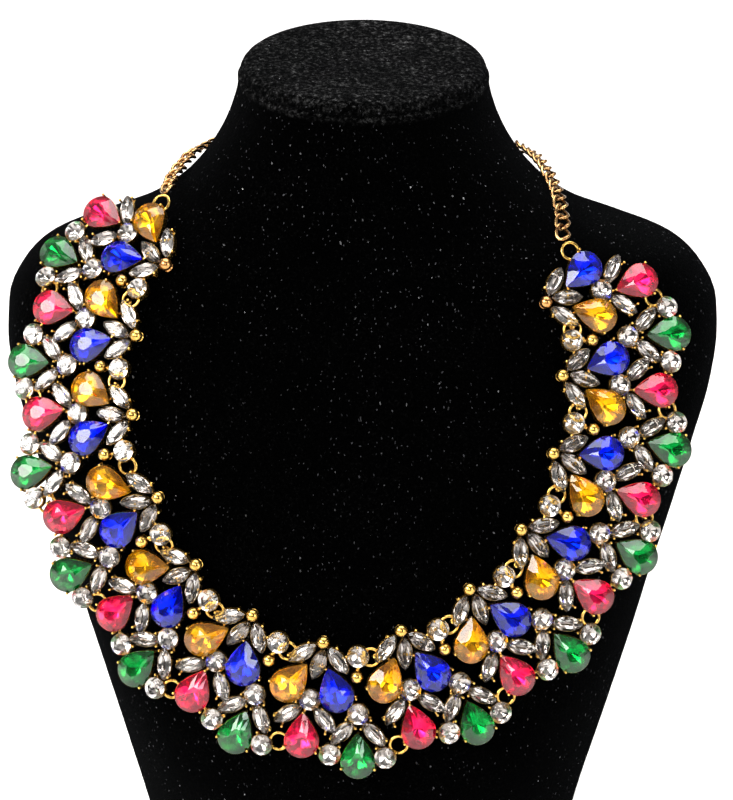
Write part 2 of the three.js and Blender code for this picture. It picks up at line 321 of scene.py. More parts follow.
def node_tree(name):
    """A new material with its node tree, its shader and the object's own coordinates."""
    material = bpy.data.materials.new(name)
    material.use_nodes = True
    tree = material.node_tree
    shader = tree.nodes["Principled BSDF"]
    where = tree.nodes.new("ShaderNodeTexCoord").outputs["Object"]
    return material, tree, shader, where


def noise_of(tree, where, scale, detail, roughness):
    node = tree.nodes.new("ShaderNodeTexNoise")
    node.inputs["Scale"].default_value = scale
    node.inputs["Detail"].default_value = detail
    node.inputs["Roughness"].default_value = roughness
    tree.links.new(where, node.inputs["Vector"])
    return node.outputs["Fac"]


def ramp_of(tree, value, stops):
    """A colour ramp: stops are (position, colour) with a colour as a grey or as red, green, blue."""
    node = tree.nodes.new("ShaderNodeValToRGB")
    elements = node.color_ramp.elements
    while len(elements) < len(stops):
        elements.new(0.5)
    for element, (position, colour) in zip(elements, stops):
        element.position = position
        rgb = (colour,) * 3 if isinstance(colour, (int, float)) else colour
        element.color = (*rgb, 1)
    tree.links.new(value, node.inputs["Fac"])
    return node.outputs["Color"]


# Where a Mix node keeps its factor, its two colours and its mixed colour.
MIX_SOCKETS = (0, 6, 7)
MIX_RESULT = 2


def mixed(tree, share, a, b, kind="MIX"):
    """A colour mix of two colours or sockets, by name of blend."""
    node = tree.nodes.new("ShaderNodeMix")
    node.data_type = "RGBA"
    node.blend_type = kind
    for number, value in zip(MIX_SOCKETS, (share, a, b)):
        socket = node.inputs[number]
        if isinstance(value, bpy.types.NodeSocket):
            tree.links.new(value, socket)
        elif isinstance(value, (int, float)):
            socket.default_value = value
        else:
            socket.default_value = (*value, 1)
    return node.outputs[MIX_RESULT]


def maths(tree, kind, a, b=None):
    """A Math node on one or two numbers or sockets."""
    node = tree.nodes.new("ShaderNodeMath")
    node.operation = kind
    for socket, value in zip(node.inputs, (a, b)):
        if value is None:
            continue
        if isinstance(value, bpy.types.NodeSocket):
            tree.links.new(value, socket)
        else:
            socket.default_value = value
    return node.outputs[0]


def bump_of(tree, shader, height, strength, distance):
    node = tree.nodes.new("ShaderNodeBump")
    node.inputs["Strength"].default_value = strength
    node.inputs["Distance"].default_value = distance
    tree.links.new(height, node.inputs["Height"])
    tree.links.new(node.outputs["Normal"], shader.inputs["Normal"])


def gold(name, light, mid, dark):
    """Plated casting metal, in random patches of lighter and darker tone, its shine varying finely."""
    material, tree, shader, where = node_tree(name)
    shader.inputs["Metallic"].default_value = 1.0
    patches = noise_of(tree, where, 420, 4, 0.6)
    colour = ramp_of(tree, patches, [(0.32, dark), (0.48, mid), (0.66, light)])
    tree.links.new(colour, shader.inputs["Base Color"])
    fine = noise_of(tree, where, 1900, 3, 0.6)
    tree.links.new(ramp_of(tree, fine, [(0.35, 0.16), (0.7, 0.34)]), shader.inputs["Roughness"])
    bump_of(tree, shader, fine, 0.25, 0.00004)
    return material


def jewel_glass(name, light, deep):
    """The clear, tinted body of a stone."""
    material, tree, shader, where = node_tree(name)
    shader.inputs["Transmission Weight"].default_value = 1.0
    shader.inputs["IOR"].default_value = 1.50
    shader.inputs["Specular IOR Level"].default_value = 0.15
    cloud = noise_of(tree, where, 260, 2, 0.5)
    tree.links.new(ramp_of(tree, cloud, [(0.35, deep), (0.65, light)]), shader.inputs["Base Color"])
    scuffs = noise_of(tree, where, 900, 3, 0.6)
    tree.links.new(
        ramp_of(tree, scuffs, [(0.4, 0.02), (0.75, 0.07)]), shader.inputs["Roughness"]
    )
    return material


def jewel_foil(name, light, mid, deep, metal):
    """The mirror backing behind a stone, which gives it its fire."""
    material, tree, shader, where = node_tree(name)
    shader.inputs["Metallic"].default_value = metal
    cloud = noise_of(tree, where, 200, 2, 0.5)
    tree.links.new(
        ramp_of(tree, cloud, [(0.30, deep), (0.5, mid), (0.70, light)]), shader.inputs["Base Color"]
    )
    wrinkle = noise_of(tree, where, 500, 2, 0.5)
    tree.links.new(
        ramp_of(tree, wrinkle, [(0.35, 0.10), (0.7, 0.15)]),
        shader.inputs["Roughness"],
    )
    bump_of(tree, shader, wrinkle, 0.06, 0.00006)
    return material


# The seam's plane, and the mask of the painted highlight along it:
SEAM_LEAN = math.radians(8)
SEAM_HEIGHT = 0.2456  # of the tilted seam's plane, measured square to it
SEAM_FALL = 0.006  # how far under the seam the painted highlight's mask runs from one end to the other
SEAM_START = 0.2  # the painted highlight mask's value on the seam
# Lint on the velvet: specks a metre, their reach in a cell, the share left out, and their colour.
LINT = [
    (310, 0.07, 0.84, (0.26, 0.26, 0.27)),
    (520, 0.11, 0.68, (0.11, 0.11, 0.115)),
    (900, 0.16, 0.50, (0.045, 0.045, 0.05)),
    (95, 0.028, 0.82, (0.50, 0.49, 0.48)),
]


def velvet():
    """Black pile with lint in it, made greyer and mottled on the top face and along the seam: painted
    sheen and highlight where light catches the velvet.
    """
    material, tree, shader, where = node_tree("black_velvet")
    shader.inputs["Roughness"].default_value = 1.0
    shader.inputs["Specular IOR Level"].default_value = 0.0
    shader.inputs["Sheen Weight"].default_value = 0.009
    shader.inputs["Sheen Roughness"].default_value = 0.5
    shader.inputs["Sheen Tint"].default_value = (0.75, 0.78, 0.84, 1)
    nap = noise_of(tree, where, 1300, 4, 0.75)
    crush = noise_of(tree, where, 60, 4, 0.6)
    tufts = ramp_of(tree, nap, [(0.42, 0.00002), (0.54, 0.00012), (0.66, 0.001), (0.80, 0.008)])
    pressed = ramp_of(tree, crush, [(0.3, 0.35), (0.7, 1.4)])
    pile = mixed(tree, 1.0, tufts, pressed, "MULTIPLY")
    facing = tree.nodes.new("ShaderNodeSeparateXYZ")
    surface = tree.nodes.new("ShaderNodeNewGeometry")
    tree.links.new(surface.outputs["Normal"], facing.inputs["Vector"])
    # Painted light: velvet facing up is made greyer, standing in for the sheen and overhead light it
    # catches.
    level = ramp_of(tree, facing.outputs["Z"], [(0.15, 0.3), (0.92, 1.0)])
    across = tree.nodes.new("ShaderNodeVectorMath")
    across.operation = "DOT_PRODUCT"
    across.inputs[1].default_value = (0, -math.sin(SEAM_LEAN), math.cos(SEAM_LEAN))
    tree.links.new(where, across.inputs[0])
    drop = maths(tree, "MULTIPLY_ADD", across.outputs["Value"], -1 / SEAM_FALL)
    drop.node.inputs[2].default_value = SEAM_HEIGHT / SEAM_FALL + SEAM_START
    # Painted highlight: a grey band along the seam and the fold just under it.
    edge = ramp_of(tree, drop, [(0.16, 0.0), (0.24, 0.9), (0.42, 0.5), (0.60, 0.0)])
    above = ramp_of(tree, drop, [(0.10, 1.0), (0.20, 0.0)])
    # The greyer, mottled nap of the painted sheen and highlight.
    strands = noise_of(tree, where, 750, 3, 0.7)
    painted_sheen_nap = ramp_of(tree, strands, [(0.42, 0.0002), (0.53, 0.003), (0.64, 0.018), (0.78, 0.09)])
    # Where the painted sheen and highlight go: upward faces above the seam, and the band along it.
    painted_light_mask = maths(tree, "MAXIMUM", maths(tree, "MULTIPLY", level, above), edge)
    pile = mixed(tree, painted_light_mask, pile, mixed(tree, 1.0, painted_sheen_nap, pressed, "MULTIPLY"))
    wander = tree.nodes.new("ShaderNodeTexNoise")
    wander.inputs["Scale"].default_value = 160
    tree.links.new(where, wander.inputs["Vector"])
    bent = tree.nodes.new("ShaderNodeVectorMath")
    bent.operation = "MULTIPLY_ADD"
    bent.inputs[1].default_value = (0.004, 0.004, 0.004)
    tree.links.new(wander.outputs["Color"], bent.inputs[0])
    tree.links.new(where, bent.inputs[2])
    lengthen = tree.nodes.new("ShaderNodeMapping")
    lengthen.inputs["Scale"].default_value = (1.0, 1.0, 0.55)
    tree.links.new(bent.outputs["Vector"], lengthen.inputs["Vector"])
    brushed = lengthen.outputs["Vector"]
    swept = ramp_of(tree, noise_of(tree, where, 26, 3, 0.6), [(0.38, 0.12), (0.62, 1.0)])
    colour = pile
    for spread, reach, least, strength in LINT:
        bits = tree.nodes.new("ShaderNodeTexVoronoi")
        bits.inputs["Scale"].default_value = spread
        bits.inputs["Randomness"].default_value = 1.0
        tree.links.new(brushed, bits.inputs["Vector"])
        speck = maths(tree, "LESS_THAN", bits.outputs["Distance"], reach)
        kept = tree.nodes.new("ShaderNodeSeparateColor")
        tree.links.new(bits.outputs["Color"], kept.inputs["Color"])
        some = maths(tree, "GREATER_THAN", kept.outputs["Red"], least)
        lint = maths(tree, "MULTIPLY", speck, some)
        glow = maths(tree, "MULTIPLY", lint, kept.outputs["Green"])
        colour = mixed(tree, maths(tree, "MULTIPLY", glow, swept), colour, strength)
    tree.links.new(colour, shader.inputs["Base Color"])
    bump_of(tree, shader, nap, 0.8, 0.0004)
    return material


GOLD = gold("plated_gold", (0.80, 0.52, 0.14), (0.56, 0.34, 0.08), (0.24, 0.13, 0.03))
# A darker, more coppery copy of the plated gold for the end castings' top balls: painted shade for the
# dark reflection seen on them.
SHADED_GOLD = gold("gold_painted_shade", (0.66, 0.34, 0.12), (0.50, 0.24, 0.08), (0.26, 0.12, 0.04))
# A darker, more coppery copy of the plated gold for the chains and clasp: painted shade for the darker
# reflection on the chain.
CHAIN_GOLD = gold("chain_gold", (0.60, 0.38, 0.16), (0.36, 0.20, 0.08), (0.15, 0.07, 0.03))
VELVET = velvet()
# Body tints and backing tints of each stone colour.
TINTS = {
    "yellow": (
        ((0.99, 0.70, 0.06), (0.96, 0.58, 0.025)),
        ((0.80, 0.66, 0.13), (0.74, 0.48, 0.05), (0.60, 0.30, 0.015)),
    ),
    "blue": (
        ((0.008, 0.13, 1.0), (0.002, 0.06, 0.9)),
        ((0.004, 0.16, 0.80), (0.001, 0.05, 0.60), (0.0, 0.02, 0.36)),
    ),
    "pink": (
        ((1.0, 0.11, 0.34), (0.96, 0.05, 0.23)),
        ((0.90, 0.26, 0.50), (0.80, 0.08, 0.27), (0.58, 0.02, 0.13)),
    ),
    "green": (
        ((0.05, 0.68, 0.26), (0.01, 0.44, 0.16)),
        ((0.08, 0.60, 0.25), (0.015, 0.33, 0.12), (0.0, 0.15, 0.05)),
    ),
    "clear": (
        ((0.98, 0.975, 0.97), (0.95, 0.94, 0.93)),
        ((0.66, 0.63, 0.60), (0.48, 0.45, 0.43), (0.29, 0.265, 0.245)),
    ),
}
STONE_MATERIALS = []
STONE_SLOTS = {}
for hue, (body, backing) in TINTS.items():
    STONE_SLOTS[hue] = len(STONE_MATERIALS)
    STONE_MATERIALS.append(jewel_glass(hue + "_stone", *body))
    metal = 1.0 if hue == "clear" else 0.84
    STONE_MATERIALS.append(jewel_foil(hue + "_foil", *backing, metal))

# ---------------------------------------------------------------- camera

CAMERA_TARGET = Vector((1.3, 0, 150.45)) * MM
CAMERA_DISTANCE = 0.95
CAMERA_RISE = math.radians(21)
CAMERA_ROLL = math.radians(0.2)
CAMERA_LENS = 138.94
lens = bpy.data.cameras.new("camera")
lens.sensor_width = 36
lens.lens = CAMERA_LENS
camera = bpy.data.objects.new("camera", lens)
camera.location = CAMERA_TARGET + CAMERA_DISTANCE * Vector(
    (0, -math.cos(CAMERA_RISE), math.sin(CAMERA_RISE))
)
level = Matrix.Rotation(math.pi / 2 - CAMERA_RISE, 3, "X")
camera.rotation_euler = (level @ Matrix.Rotation(CAMERA_ROLL, 3, "Z")).to_euler()
bpy.context.scene.collection.objects.link(camera)
bpy.context.scene.camera = camera

# ---------------------------------------------------------------- bust


def spline(values, places, at):
    """Monotone cubic through the values at those places, with no bulge between slices."""
    count = len(values)
    steps = [places[i + 1] - places[i] for i in range(count - 1)]
    slopes = [(values[i + 1] - values[i]) / steps[i] for i in range(count - 1)]
    ends = [slopes[0]]
    for a, b in zip(slopes, slopes[1:]):
        ends.append(0.0 if a * b <= 0 else 2 * a * b / (a + b))
    ends.append(slopes[-1])
    i = next((k for k in range(count - 1) if at <= places[k + 1]), count - 2)
    t = (at - places[i]) / steps[i]
    h = steps[i]
    return (
        values[i] * (1 + 2 * t) * (1 - t) ** 2
        + h * ends[i] * t * (1 - t) ** 2
        + values[i + 1] * t * t * (3 - 2 * t)
        + h * ends[i + 1] * t * t * (t - 1)
    )


BUST_WAY = [0.0]
for low, high in zip(BUST_SLICES, BUST_SLICES[1:]):
    BUST_WAY.append(BUST_WAY[-1] + math.hypot(high[0] - low[0], high[1] - low[1]))
BUST_COLUMNS = [list(column) for column in zip(*BUST_SLICES)]


def squared(t, power):
    """A sine or cosine bent so that the outline is squarer than an ellipse."""
    return math.copysign(abs(t) ** (2 / power), t)


def bust_ring(way, sides, grow=0.0, shrink=1.0):
    """The bust's outline at that way up its side, grown by some millimetres."""
    z, half, front, back, lean, power = (spline(column, BUST_WAY, way) for column in BUST_COLUMNS)
    centre, depth, tilt = (front + back) / 2, (back - front) / 2, math.radians(lean)
    ring = []
    for i in range(sides):
        angle = 2 * math.pi * i / sides
        x = (half + grow) * shrink * squared(math.cos(angle), power)
        y = (depth + grow) * shrink * squared(math.sin(angle), power)
        ring.append(Vector((x, centre + y * math.cos(tilt), z + y * math.sin(tilt))))
    return ring


SEAM_WAY = BUST_WAY[18]  # where the top's covering is sewn to the neck's
# The turned-under hem: the covering folds in over the base and stops short of its middle.
HEM = ((0.80, 0.7), (0.84, 0.7), (0.845, 0.05), (0.92, 0.0), (0.985, 0.0))
# Shares of the top's outline that its inner rings are drawn at.
TOP_SHARES = (0.94, 0.87, 0.78, 0.66, 0.52, 0.38, 0.24, 0.12)


def seam_groove(off):
    """The seam's dip and the fold under it, by the way from the seam."""
    return -0.75 * math.exp(-((off / 0.5) ** 2)) + 0.38 * math.exp(-(((off + 1.15) / 0.55) ** 2))


def bust_mesh():
    sides = 168
    ways = [0.0, 0.35, 0.8, 1.4, 2.2, 3.2]
    while ways[-1] < BUST_WAY[-1] - 1.0:
        near = abs(ways[-1] + 0.3 - SEAM_WAY)
        step = 0.28 if near < 2.2 else 0.9 if ways[-1] > SEAM_WAY else 2.6
        ways.append(ways[-1] + step)
    ways.append(BUST_WAY[-1])
    rings = []
    for share, lift in HEM:
        rings.append([p + Vector((0, 0, lift)) for p in bust_ring(0.0, sides, 0, share)])
    for way in ways:
        rings.append(bust_ring(way, sides, seam_groove(way - SEAM_WAY)))
    top = bust_ring(BUST_WAY[-1], sides)
    middle = sum(top, Vector()) / sides
    for share in TOP_SHARES:
        dish = -0.35 * (1 - share**2)
        rings.append([middle + (p - middle) * share + Vector((0, 0, dish)) for p in top])
    first_top = len(rings) - len(TOP_SHARES) - 1
    for level, ring in enumerate(rings[len(HEM) :], len(HEM)):
        for p in ring:
            soft = noise.noise(Vector(p) * 0.045) * 0.22 + noise.noise(Vector(p) * 0.35) * 0.07
            outward = Vector((p.x, p.y - 0.5, 0)).normalized()
            away = outward if level < first_top else Vector((0, 0, 1))
            p += away * soft * min(1.0, p.z / 6)
    shape = Shape()
    shape.add(*loft(rings))
    return shape.made("bust_velvet", [VELVET], 60)


place("bust_velvet", bust_mesh(), Matrix(), ["bust"])

# ---------------------------------------------------------------- castings


def radius_at(cut, angle):
    """How far a stone's girdle is from its centre in that direction, its point along angle 0."""
    half, reach = CUTS[cut][:2]
    angle = abs((angle + math.pi) % (2 * math.pi) - math.pi)
    if cut == "pear":
        shoulder = math.acos(half / reach)
        if angle >= shoulder:
            return half
        bulge = 0.24 * math.sin(math.pi * angle / shoulder) ** 0.8
        blunt = 0.35 * math.exp(-((angle / 0.07) ** 2))
        return half / math.cos(shoulder - angle) + bulge - blunt
    if cut == "navette":
        arc = (reach**2 + half**2) / (2 * half)
        drop = arc - half
        far = math.sqrt(arc**2 - (drop * math.cos(angle)) ** 2) - drop * abs(math.sin(angle))
        return far - 0.15 * math.exp(-((math.sin(angle) / 0.05) ** 2))
    return half


def girdle_of(cut, count):
    """Points round a stone's girdle, spread evenly along it."""
    fine = 720
    ring = []
    for i in range(fine):
        angle = 2 * math.pi * i / fine
        r = radius_at(cut, angle)
        ring.append(Vector((r * math.cos(angle), r * math.sin(angle), 0)))
    way = [0.0]
    for i in range(fine):
        way.append(way[-1] + (ring[(i + 1) % fine] - ring[i]).length)
    chosen, k = [], 0
    for j in range(count):
        goal = way[-1] * j / count
        while way[k + 1] < goal:
            k += 1
        share = (goal - way[k]) / (way[k + 1] - way[k])
        chosen.append(ring[k].lerp(ring[(k + 1) % fine], share))
    return chosen


GIRDLE_POINTS = 32
GIRDLE_EDGE = 0.28  # height of the girdle's own edge
STONE_OVERLAP = 0.07  # how far a stone reaches past its girdle, into its cup
TABLES = {"pear": 0.40, "navette": 0.50, "round": 0.55}  # width of the table against the girdle's
# The culet of each cut: how far it is along the stone from its centre, and half its length.
CULET_SHIFT = {"pear": 1.1, "navette": 0.0, "round": 0.0}
CULET_LENGTH = {"pear": 0.0, "navette": 2.3, "round": 0.0}


def stone(cut):
    """Points, faces and slots of a faceted stone: body faces in slot 0, backing faces in slot 1."""
    half, reach, girdle, top = CUTS[cut]
    table = TABLES[cut]
    shift, keel = CULET_SHIFT[cut], CULET_LENGTH[cut]
    edge = [p * (1 + STONE_OVERLAP / half) for p in girdle_of(cut, GIRDLE_POINTS)]
    middle = Vector((shift, 0, 0))
    lower, upper = girdle - GIRDLE_EDGE, girdle
    crown = top - upper
    depth = lower - CULETS[cut]
    points, faces, slots = [], [], []

    def put(p, w):
        points.append(Vector((p.x, p.y, w)))
        return len(points) - 1

    def face(*ids, slot=0):
        faces.append(ids)
        slots.append(slot)

    def inward(j, share):
        p = edge[j % GIRDLE_POINTS]
        ridge = Vector((max(-keel, min(keel, p.x * keel / reach)), 0, 0)) if keel else Vector()
        hub = middle + ridge
        return hub + (p - hub) * share

    step = GIRDLE_POINTS // 8
    high = [put(p, upper) for p in edge]
    low = [put(p, lower) for p in edge]
    # Table corners lie half way between the star tips.
    star = (1 + table) / 2 - 0.02
    rise = crown * (1 - star * 0.955) / (1 - table)
    corners = [put(inward(i * step + step // 2, table), top) for i in range(8)]
    tips = [put(inward(i * step, star), upper + rise) for i in range(8)]
    faces.append(corners)
    slots.append(0)
    for i in range(8):
        left, right = corners[i - 1], corners[i]
        tip, after = tips[i], tips[(i + 1) % 8]
        at = i * step
        face(left, tip, right)
        face(right, tip, high[(at + step // 2) % GIRDLE_POINTS], after)
        for run in (range(at - step // 2, at), range(at, at + step // 2)):
            ids = [high[k % GIRDLE_POINTS] for k in (*run, run[-1] + 1)]
            face(tip, *ids)
    for k in range(GIRDLE_POINTS):
        j = (k + 1) % GIRDLE_POINTS
        face(high[k], high[j], low[j], low[k], slot=1)
    halves = 0.42
    sink = depth * (1 - halves * 0.955)
    knees = [put(inward(i * step, halves), lower - sink) for i in range(8)]
    if keel:
        culet = [put(Vector((keel * c, 0, 0)), CULETS[cut]) for c in (1, -1)]
    else:
        culet = [put(middle, CULETS[cut])]
    for i in range(8):
        knee, after = knees[i], knees[(i + 1) % 8]
        at = i * step
        out = low[(at + step // 2) % GIRDLE_POINTS]
        if not keel:
            face(culet[0], knee, out, after, slot=1)
        else:
            at_middle = abs(points[knee].x) <= 0.01
            side = points[out if at_middle else knee].x
            face(culet[0] if side > 0 else culet[1], knee, out, after, slot=1)
        for run in (range(at - step // 2, at), range(at, at + step // 2)):
            ids = [low[k % GIRDLE_POINTS] for k in (*run, run[-1] + 1)]
            face(knee, *ids, slot=1)
    if keel:
        for n in knees:
            if abs(points[n].x) <= 0.01:
                face(culet[0], n, culet[1], slot=1)
    return points, faces, slots


def cup(cut):
    """The metal cup round a stone: wall, thin lip over the girdle, and a hollow under the stone."""
    girdle = CUTS[cut][2]
    edge = girdle_of(cut, 40)
    count = len(edge)
    middle = Vector((CULET_SHIFT[cut], 0, 0))
    rings = []

    def ring(off, w, share=1.0):
        made = []
        for i in range(count):
            along = (edge[(i + 1) % count] - edge[i - 1]).normalized()
            away = Vector((along.y, -along.x, 0))
            p = edge[i] + away * off
            p = middle + (p - middle) * share
            made.append(Vector((p.x, p.y, w)))
        rings.append(made)

    ring(0, 0.0, 0.55)
    ring(0, 0.0, 0.86)
    ring(0, 0.25, 0.95)
    ring(RIM - 0.12, 0.9)
    ring(RIM - 0.11, girdle - 0.5)
    ring(RIM - 0.10, girdle - 0.2)
    ring(0.12, girdle - 0.12)
    ring(0.08, girdle - 0.14)
    ring(0.07, girdle - 0.2)
    ring(0.05, girdle - 0.36)
    low = girdle - GIRDLE_EDGE
    fall = low - CULETS[cut]
    for share in (0.75, 0.4, 0.12):
        under = CULETS[cut] - 0.25 if cut == "navette" else low - fall * (1 - share) - 0.22
        ring(0, under, share)
    return loft(rings)


def moved(points, u, v, turn):
    """Points turned by some degrees and shifted to u, v on a casting."""
    c, s = math.cos(math.radians(turn)), math.sin(math.radians(turn))
    return [Vector((u + p.x * c - p.y * s, v + p.x * s + p.y * c, p.z)) for p in points]


def hue_of(name):
    return name if name in TINTS else "clear"


def stones_mesh(name, kept):
    """All the stones of a casting, each with its own colour of body and backing."""
    shape = Shape()
    for stone_name in kept:
        cut, u, v, turn = STONES[stone_name]
        if cut == "ball":
            continue
        points, faces, slots = stone(cut)
        base = STONE_SLOTS[hue_of(stone_name)]
        shape.add(moved(points, u, v, turn), faces, [base + s for s in slots], False)
    return shape.made(name, STONE_MATERIALS)


def setting_mesh(name, kept, shaded_ball):
    """A casting's metal: cups, balls, bridges and claws. shaded_ball gives its top ball a darker, more
    coppery copy of the gold, painted shade for the dark reflection on that ball.
    """
    shape = Shape()
    for stone_name in kept:
        cut, u, v, turn = STONES[stone_name]
        if cut != "ball":
            points, faces = cup(cut)
            shape.add(moved(points, u, v, turn), faces)
            continue
        radius, centre = CUTS["ball"][0], CUTS["ball"][3] - CUTS["ball"][0]
        profile = [(0.01, 0), (0.9, 0), (1.35, 0.12), (1.5, 0.35), (1.28, 0.62), (1.2, 0.75)]
        for k in range(13):
            angle = math.radians(-48 + 138 * k / 12)
            profile.append((max(0.01, radius * math.cos(angle)), centre + radius * math.sin(angle)))
        # The end castings' top ball takes the darker copy of the gold: painted shade.
        slot = 1 if shaded_ball and stone_name == "top_ball" else 0
        shape.add(*turned(profile, 28, (u, v)), slot)
    for start, end, owners in BRIDGES:
        if not all(owner in kept for owner in owners):
            continue
        a, b = Vector((*start, 1.05)), Vector((*end, 1.05))
        path = [a.lerp(b, k / 6) for k in range(7)]
        radii = [0.62 - 0.14 * math.sin(math.pi * k / 6) for k in range(7)]
        shape.add(*tube(path, radii, 12))
    for u, v in CLAWS:
        at = Vector((u, v))
        near = min(kept, key=lambda s: gap_to(s, at))
        if gap_to(near, at) > 1.6:
            continue
        cut, cu, cv, _ = STONES[near]
        way = (Vector((cu, cv)) - at).normalized()
        height = CUTS[cut][2]
        lean = Vector((*(at + way * 0.12), height))
        foot = Vector((*at, 0.9))
        post = [foot, foot.lerp(lean, 0.45), lean]
        post += [lean + Vector((0, 0, 0.32)), lean + Vector((0, 0, 0.5))]
        shape.add(*tube(post, [0.34, 0.31, 0.36, 0.40, 0.24], 10))
        ball = [
            (0.42 * math.cos(a), height + 0.28 + 0.42 * math.sin(a))
            for a in (math.radians(-88 + 176 * k / 8) for k in range(9))
        ]
        shape.add(*turned(ball, 12, tuple(at + way * 0.12)))
        reach = at + way * 1.5
        shape.add(*tube([Vector((*(at - way * 0.1), 1.15)), Vector((*reach, 1.15))], 0.34, 10))
    return shape.made(name, [GOLD, SHADED_GOLD])


def gap_to(stone_name, at):
    """How far a point is from a stone's girdle."""
    cut, u, v, turn = STONES[stone_name]
    way = at - Vector((u, v))
    angle = math.atan2(way.y, way.x) - math.radians(turn)
    return way.length - radius_at(cut, angle)


def link_place(x, y, z, turn, yaw, pitch):
    """The matrix of a casting, in millimetres."""
    turn, yaw, pitch = (math.radians(a) for a in (turn, yaw, pitch))
    out = Vector(
        (math.sin(yaw) * math.cos(pitch), -math.cos(yaw) * math.cos(pitch), math.sin(pitch))
    )
    level = Vector((0, 0, 1)).cross(out).normalized()
    rise = out.cross(level)
    u = level * math.cos(turn) + rise * math.sin(turn)
    v = out.cross(u)
    matrix = Matrix((u, v, out)).transposed().to_4x4()
    matrix.translation = Vector((x, y, z))
    return matrix


def in_metres(matrix):
    scaled = matrix.copy()
    scaled.translation = matrix.translation * MM
    return scaled


PLACES = [link_place(*link) for link in LINKS]
WHOLE = list(STONES)
whole_stones = stones_mesh("casting_stones", WHOLE)
whole_setting = setting_mesh("casting_setting", WHOLE, False)
first_setting = setting_mesh("first_setting", WHOLE, True)
end_stones = stones_mesh("end_stones", END_STONES)
end_setting = setting_mesh("end_setting", END_STONES, True)
for number, matrix in enumerate(PLACES, 1):
    node = f"link_{number:02d}"
    is_end = number == len(PLACES)
    setting = end_setting if is_end else first_setting if number == 1 else whole_setting
    stones = end_stones if is_end else whole_stones
    place(node + "_setting", setting, in_metres(matrix), [node])
    place(node + "_stones", stones, in_metres(matrix), [])

# ---------------------------------------------------------------- jump rings


def ring_place(centre, along, out):
    """The matrix of a ring that lies along one way and faces another."""
    x = along.normalized()
    z = (out - x * out.dot(x)).normalized()
    y = z.cross(x)
    matrix = Matrix((x, y, z)).transposed().to_4x4()
    matrix.translation = centre
    return matrix


def on_link(number, seat):
    return PLACES[number] @ Vector((*seat, RING_HEIGHT))


def out_of(number):
    return PLACES[number].to_3x3() @ Vector((0, 0, 1))


def ring_mesh(name, cut_at):
    """A jump ring of round wire with a fine saw cut at that angle."""
    steps = 44
    slit = math.radians(2.4)
    path = []
    for k in range(steps + 1):
        angle = math.radians(cut_at) + slit + (2 * math.pi - 2 * slit) * k / steps
        path.append(Vector((RING_RADIUS * math.cos(angle), RING_RADIUS * math.sin(angle), 0)))
    radii = [RING_WIRE] * len(path)
    radii[0] = radii[-1] = RING_WIRE * 0.9
    shape = Shape()
    shape.add(*tube(path, radii, 14))
    return shape.made(name, [GOLD])


wire_ring = ring_mesh("wire_ring", 205)
for number in range(1, len(PLACES)):
    out = out_of(number - 1) + out_of(number)
    for row, (left, right) in RING_SEATS.items():
        start, end = on_link(number - 1, left), on_link(number, right)
        matrix = ring_place((start + end) / 2, end - start, out)
        node = f"ring_{row}_{number:02d}"
        place(node + "_wire", wire_ring, in_metres(matrix), [node])
for node, number, seat, away in END_RINGS:
    start = on_link(number, seat)
    far = on_link(number, (seat[0] + away[0], seat[1] + away[1]))
    along = (far - start).normalized()
    matrix = ring_place(start + along * RING_RADIUS, along, out_of(number))
    place(node + "_wire", wire_ring, in_metres(matrix), [node])

# ---------------------------------------------------------------- chain and clasp


def catmull_rom(points, steps=40):
    """The same centripetal curve that the CAD chain follows, as closely spaced points."""
    points = [Vector(p) for p in points]
    first = points[0] * 2 - points[1]
    last = points[-1] * 2 - points[-2]
    padded = [first, *points, last]
    line = []
    for i in range(len(points) - 1):
        p0, p1, p2, p3 = padded[i : i + 4]
        d0, d1, d2 = (max(1e-4, (b - a).length**0.5) for a, b in ((p0, p1), (p1, p2), (p2, p3)))
        t1 = ((p1 - p0) / d0 - (p2 - p0) / (d0 + d1) + (p2 - p1) / d1) * d1
        t2 = ((p2 - p1) / d1 - (p3 - p1) / (d1 + d2) + (p3 - p2) / d2) * d1
        for k in range(steps):
            t = k / steps
            line.append(
                p1 * (2 * t**3 - 3 * t**2 + 1)
                + t1 * (t**3 - 2 * t**2 + t)
                + p2 * (3 * t**2 - 2 * t**3)
                + t2 * (t**3 - t**2)
            )
    line.append(points[-1])
    return line


def along_line(line, goal):
    """The point and the direction that far along the line."""
    gone = 0.0
    for a, b in zip(line, line[1:]):
        step = (b - a).length
        if gone + step >= goal:
            return a.lerp(b, (goal - gone) / step), (b - a).normalized()
        gone += step
    return line[-1], (line[-1] - line[-2]).normalized()


def bust_out(p):
    """Which way is straight out of the bust near a point."""
    best = None
    for i in range(24, 90):
        way = BUST_WAY[-1] * i / 90
        z, half, front, back, _, power = (spline(column, BUST_WAY, way) for column in BUST_COLUMNS)
        centre, depth = (front + back) / 2, (back - front) / 2
        angle = math.atan2((p.y - centre) / depth, p.x / half)
        x = half * squared(math.cos(angle), power)
        y = centre + depth * squared(math.sin(angle), power)
        q = Vector((x, y, z))
        if best is None or (q - p).length < best[0]:
            best = ((q - p).length, q)
    return (p - best[1]).normalized()


